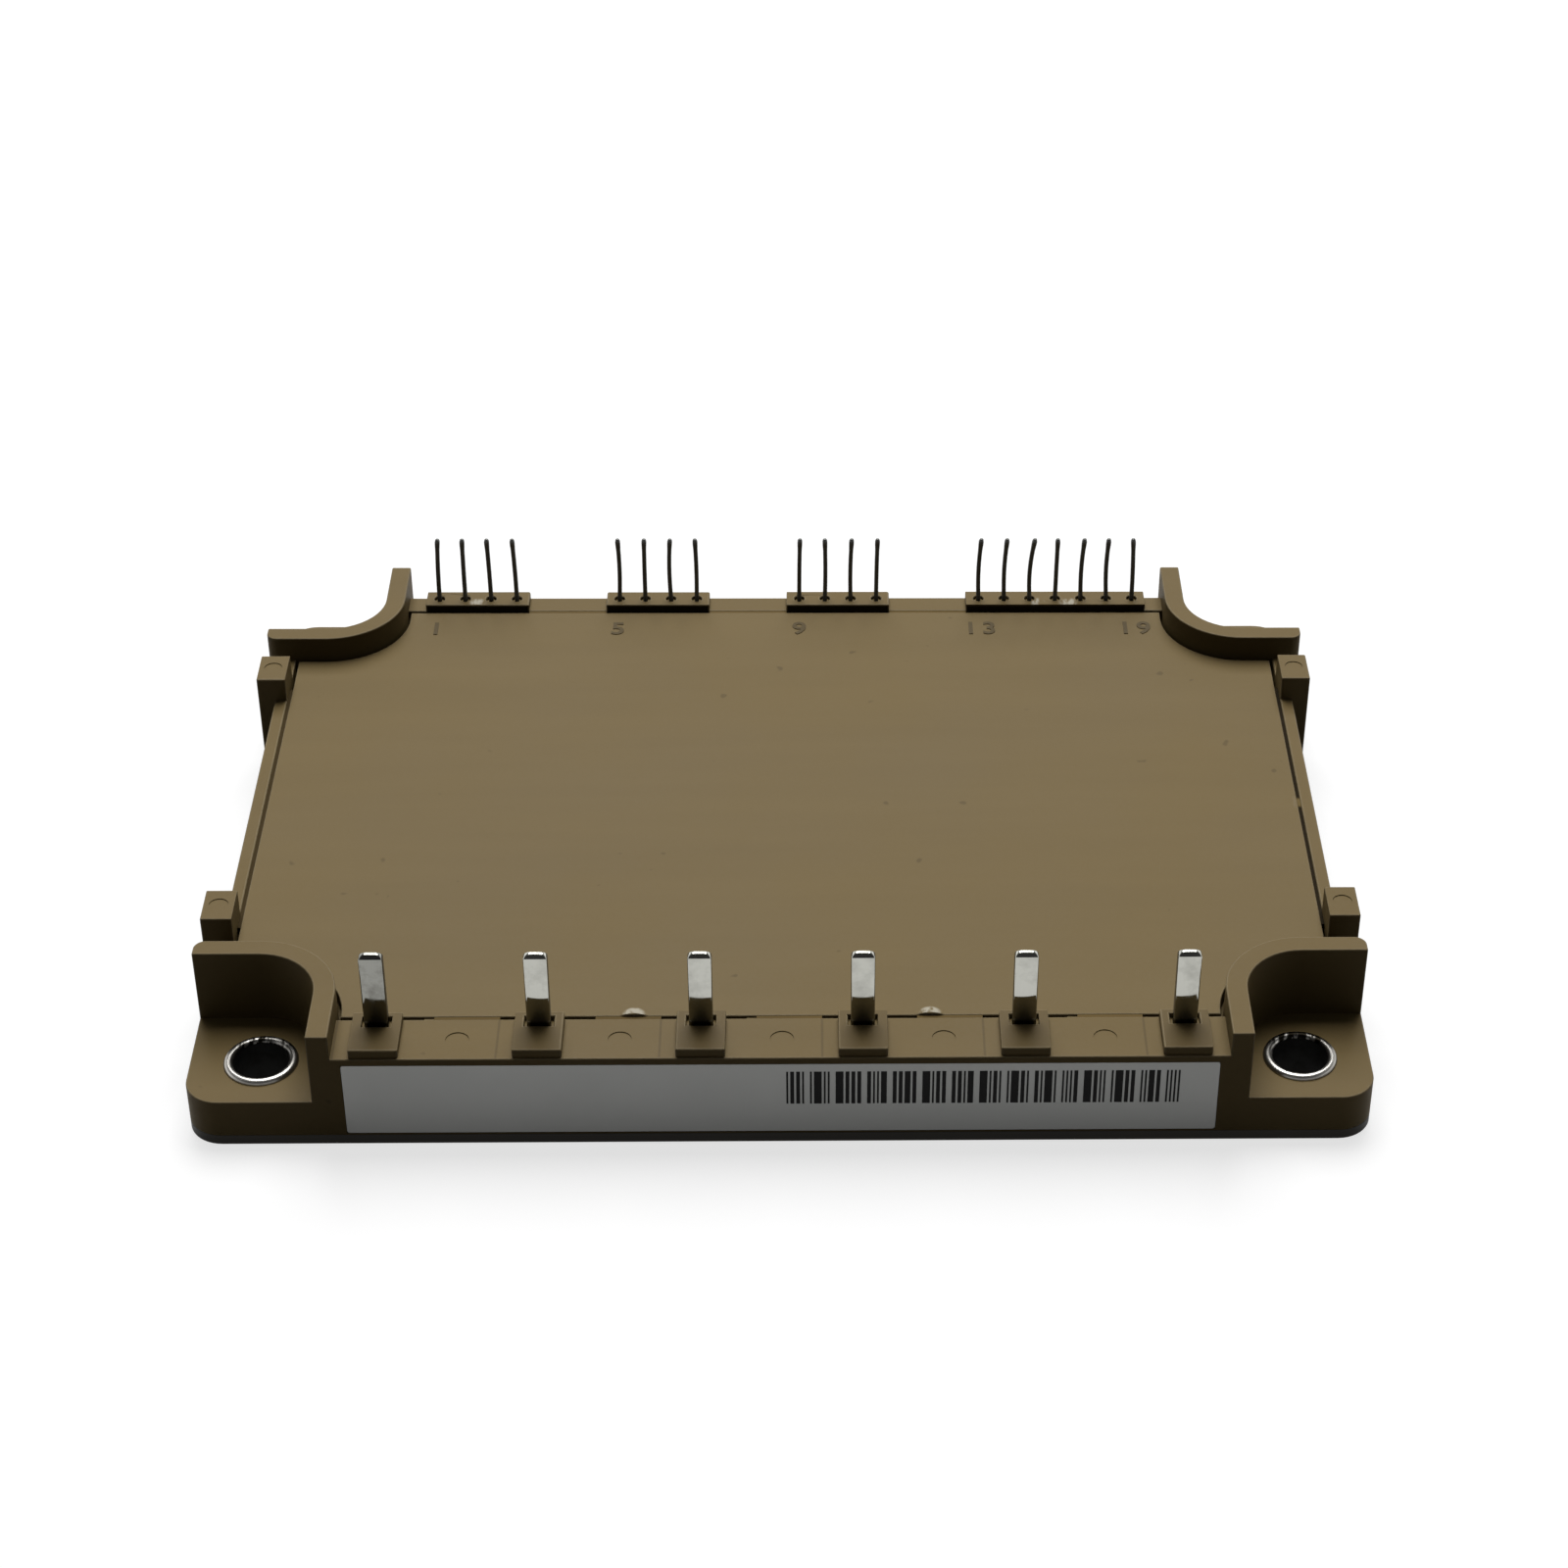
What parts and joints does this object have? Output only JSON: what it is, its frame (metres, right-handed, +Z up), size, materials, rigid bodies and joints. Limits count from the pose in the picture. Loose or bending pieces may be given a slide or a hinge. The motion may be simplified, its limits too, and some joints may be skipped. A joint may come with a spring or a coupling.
{
  "type": "igbt power module",
  "caption": "Low rectangular power module: moulded frame with a flush lid on a metal base, walled screw recesses at the corners, blade terminals in front and control pins behind.",
  "frame": {"origin": "centre of the base plate's underside", "axes": "+X along the row of blade terminals, to the right seen from the blade side; +Y from the blade side to the pin side; +Z up, out of the lid"},
  "size_m": [0.1, 0.0724, 0.0172],
  "materials": {
    "base_metal": "dull nickel plating on copper",
    "case_plastic": "moulded, satin, olive tan",
    "lid_plastic": "moulded, fine matte grain, olive tan",
    "label_film": "silvery grey film, blank",
    "bush_metal": "bright plated, formed",
    "blade_metal": "bright tin plating on copper",
    "pin_metal": "dull tin plating, slightly tarnished",
    "copper": "bare copper",
    "ceramic_white": "sintered, matte",
    "switch_silicon": "metallised silicon",
    "diode_silicon": "metallised silicon",
    "wire_metal": "bright drawn wire",
    "gel_clear": "soft clear silicone",
    "board_laminate": "green circuit board",
    "circuit_plastic": "moulded black package"
  },
  "bodies": {
    "root": {"base_plate": "base_metal", "case": "case_plastic", "lid": "lid_plastic", "label": "label_film", "bush_front_left": "bush_metal", "bush_front_right": "bush_metal", "bush_rear_left": "bush_metal", "bush_rear_right": "bush_metal", "main_terminal_1": "blade_metal", "main_terminal_2": "blade_metal", "main_terminal_3": "blade_metal", "main_terminal_4": "blade_metal", "main_terminal_5": "blade_metal", "main_terminal_6": "blade_metal", "control_pin_01": "pin_metal", "control_pin_02": "pin_metal", "control_pin_03": "pin_metal", "control_pin_04": "pin_metal", "control_pin_05": "pin_metal", "control_pin_06": "pin_metal", "control_pin_07": "pin_metal", "control_pin_08": "pin_metal", "control_pin_09": "pin_metal", "control_pin_10": "pin_metal", "control_pin_11": "pin_metal", "control_pin_12": "pin_metal", "control_pin_13": "pin_metal", "control_pin_14": "pin_metal", "control_pin_15": "pin_metal", "control_pin_16": "pin_metal", "control_pin_17": "pin_metal", "control_pin_18": "pin_metal", "control_pin_19": "pin_metal", "back_copper": "copper", "ceramic": "ceramic_white", "copper_tracks": "copper", "switch_chip_1": "switch_silicon", "switch_chip_2": "switch_silicon", "switch_chip_3": "switch_silicon", "switch_chip_4": "switch_silicon", "switch_chip_5": "switch_silicon", "switch_chip_6": "switch_silicon", "switch_chip_7": "switch_silicon", "diode_chip_1": "diode_silicon", "diode_chip_2": "diode_silicon", "diode_chip_3": "diode_silicon", "diode_chip_4": "diode_silicon", "diode_chip_5": "diode_silicon", "diode_chip_6": "diode_silicon", "diode_chip_7": "diode_silicon", "bond_wires": "wire_metal", "signal_links": "blade_metal", "gel": "gel_clear", "control_board": "board_laminate", "driver_circuit_1": "circuit_plastic", "driver_circuit_2": "circuit_plastic", "driver_circuit_3": "circuit_plastic", "driver_circuit_4": "circuit_plastic"}
  },
  "joints": []
}
